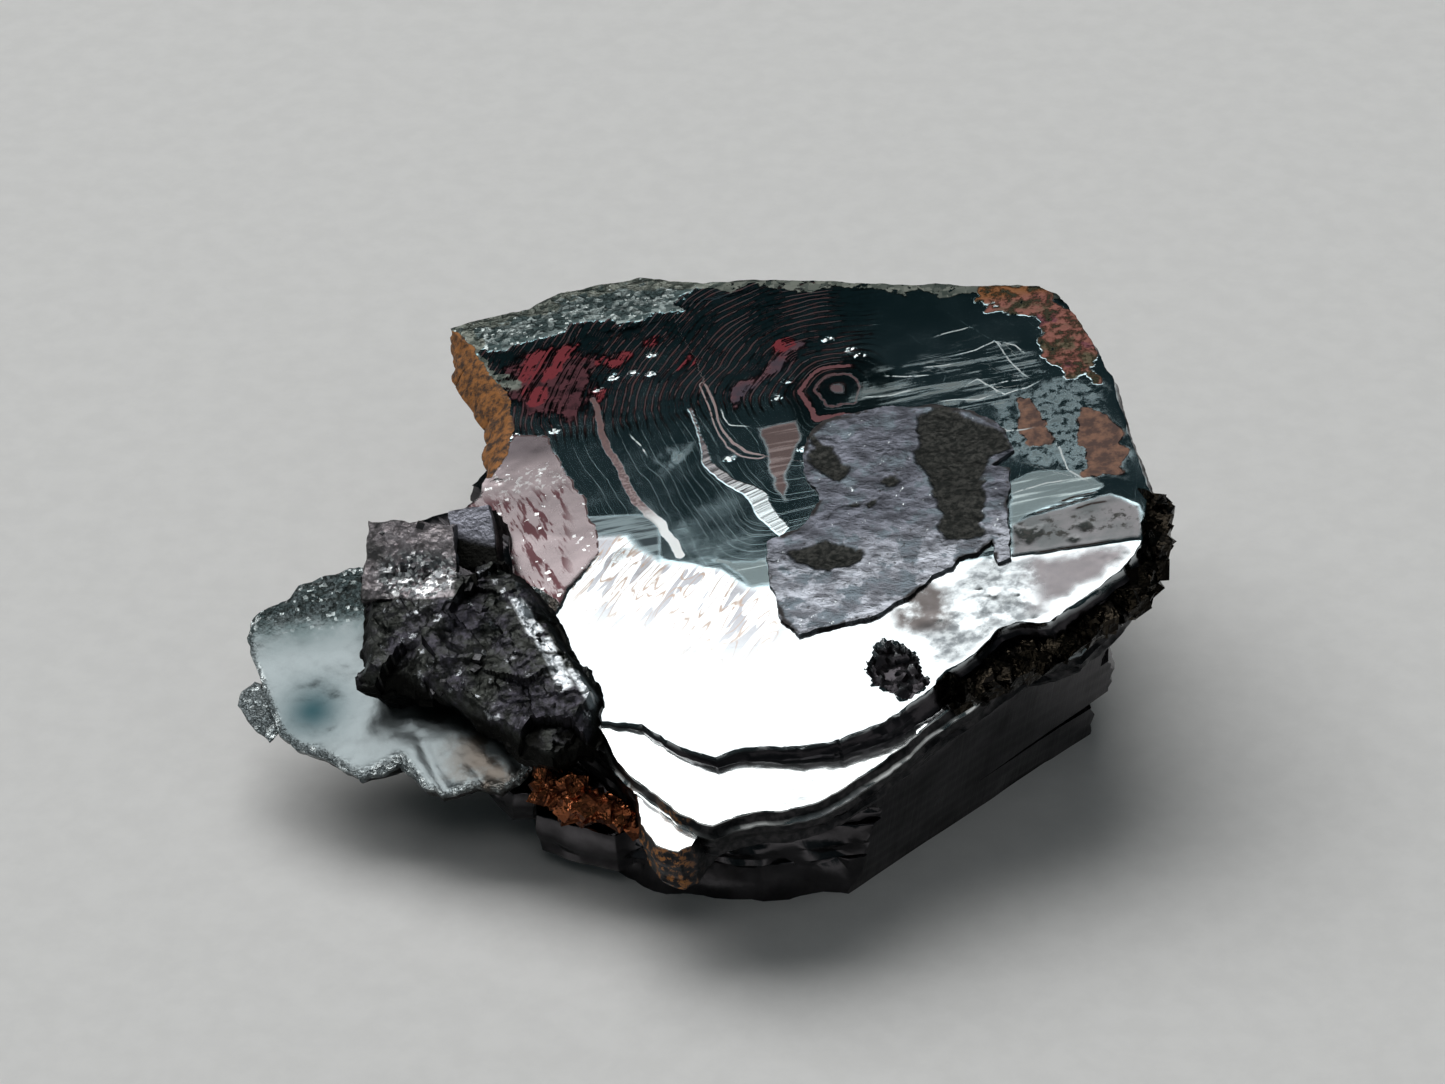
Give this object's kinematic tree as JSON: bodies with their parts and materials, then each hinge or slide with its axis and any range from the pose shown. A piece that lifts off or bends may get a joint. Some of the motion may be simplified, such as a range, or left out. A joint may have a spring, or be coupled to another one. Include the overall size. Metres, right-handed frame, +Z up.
{
  "type": "hematite rose",
  "caption": "Natural intergrown stack of flat, bevelled, metallic hematite plates with a granular side cluster, resting on its flat underside.",
  "frame": {"origin": "middle of the bounding box, on the plane that it rests on", "axes": "+X along the longest side, from the granular cluster to the high end of the big face; +Y away from the foremost corner; +Z up"},
  "size_m": [0.0288, 0.0268, 0.0102],
  "materials": {
    "hematite": "metallic, mirror-bright on the crystal faces, granular and dull on the dark crust"
  },
  "bodies": {
    "root": {"hematite_rose": "hematite"}
  },
  "joints": []
}
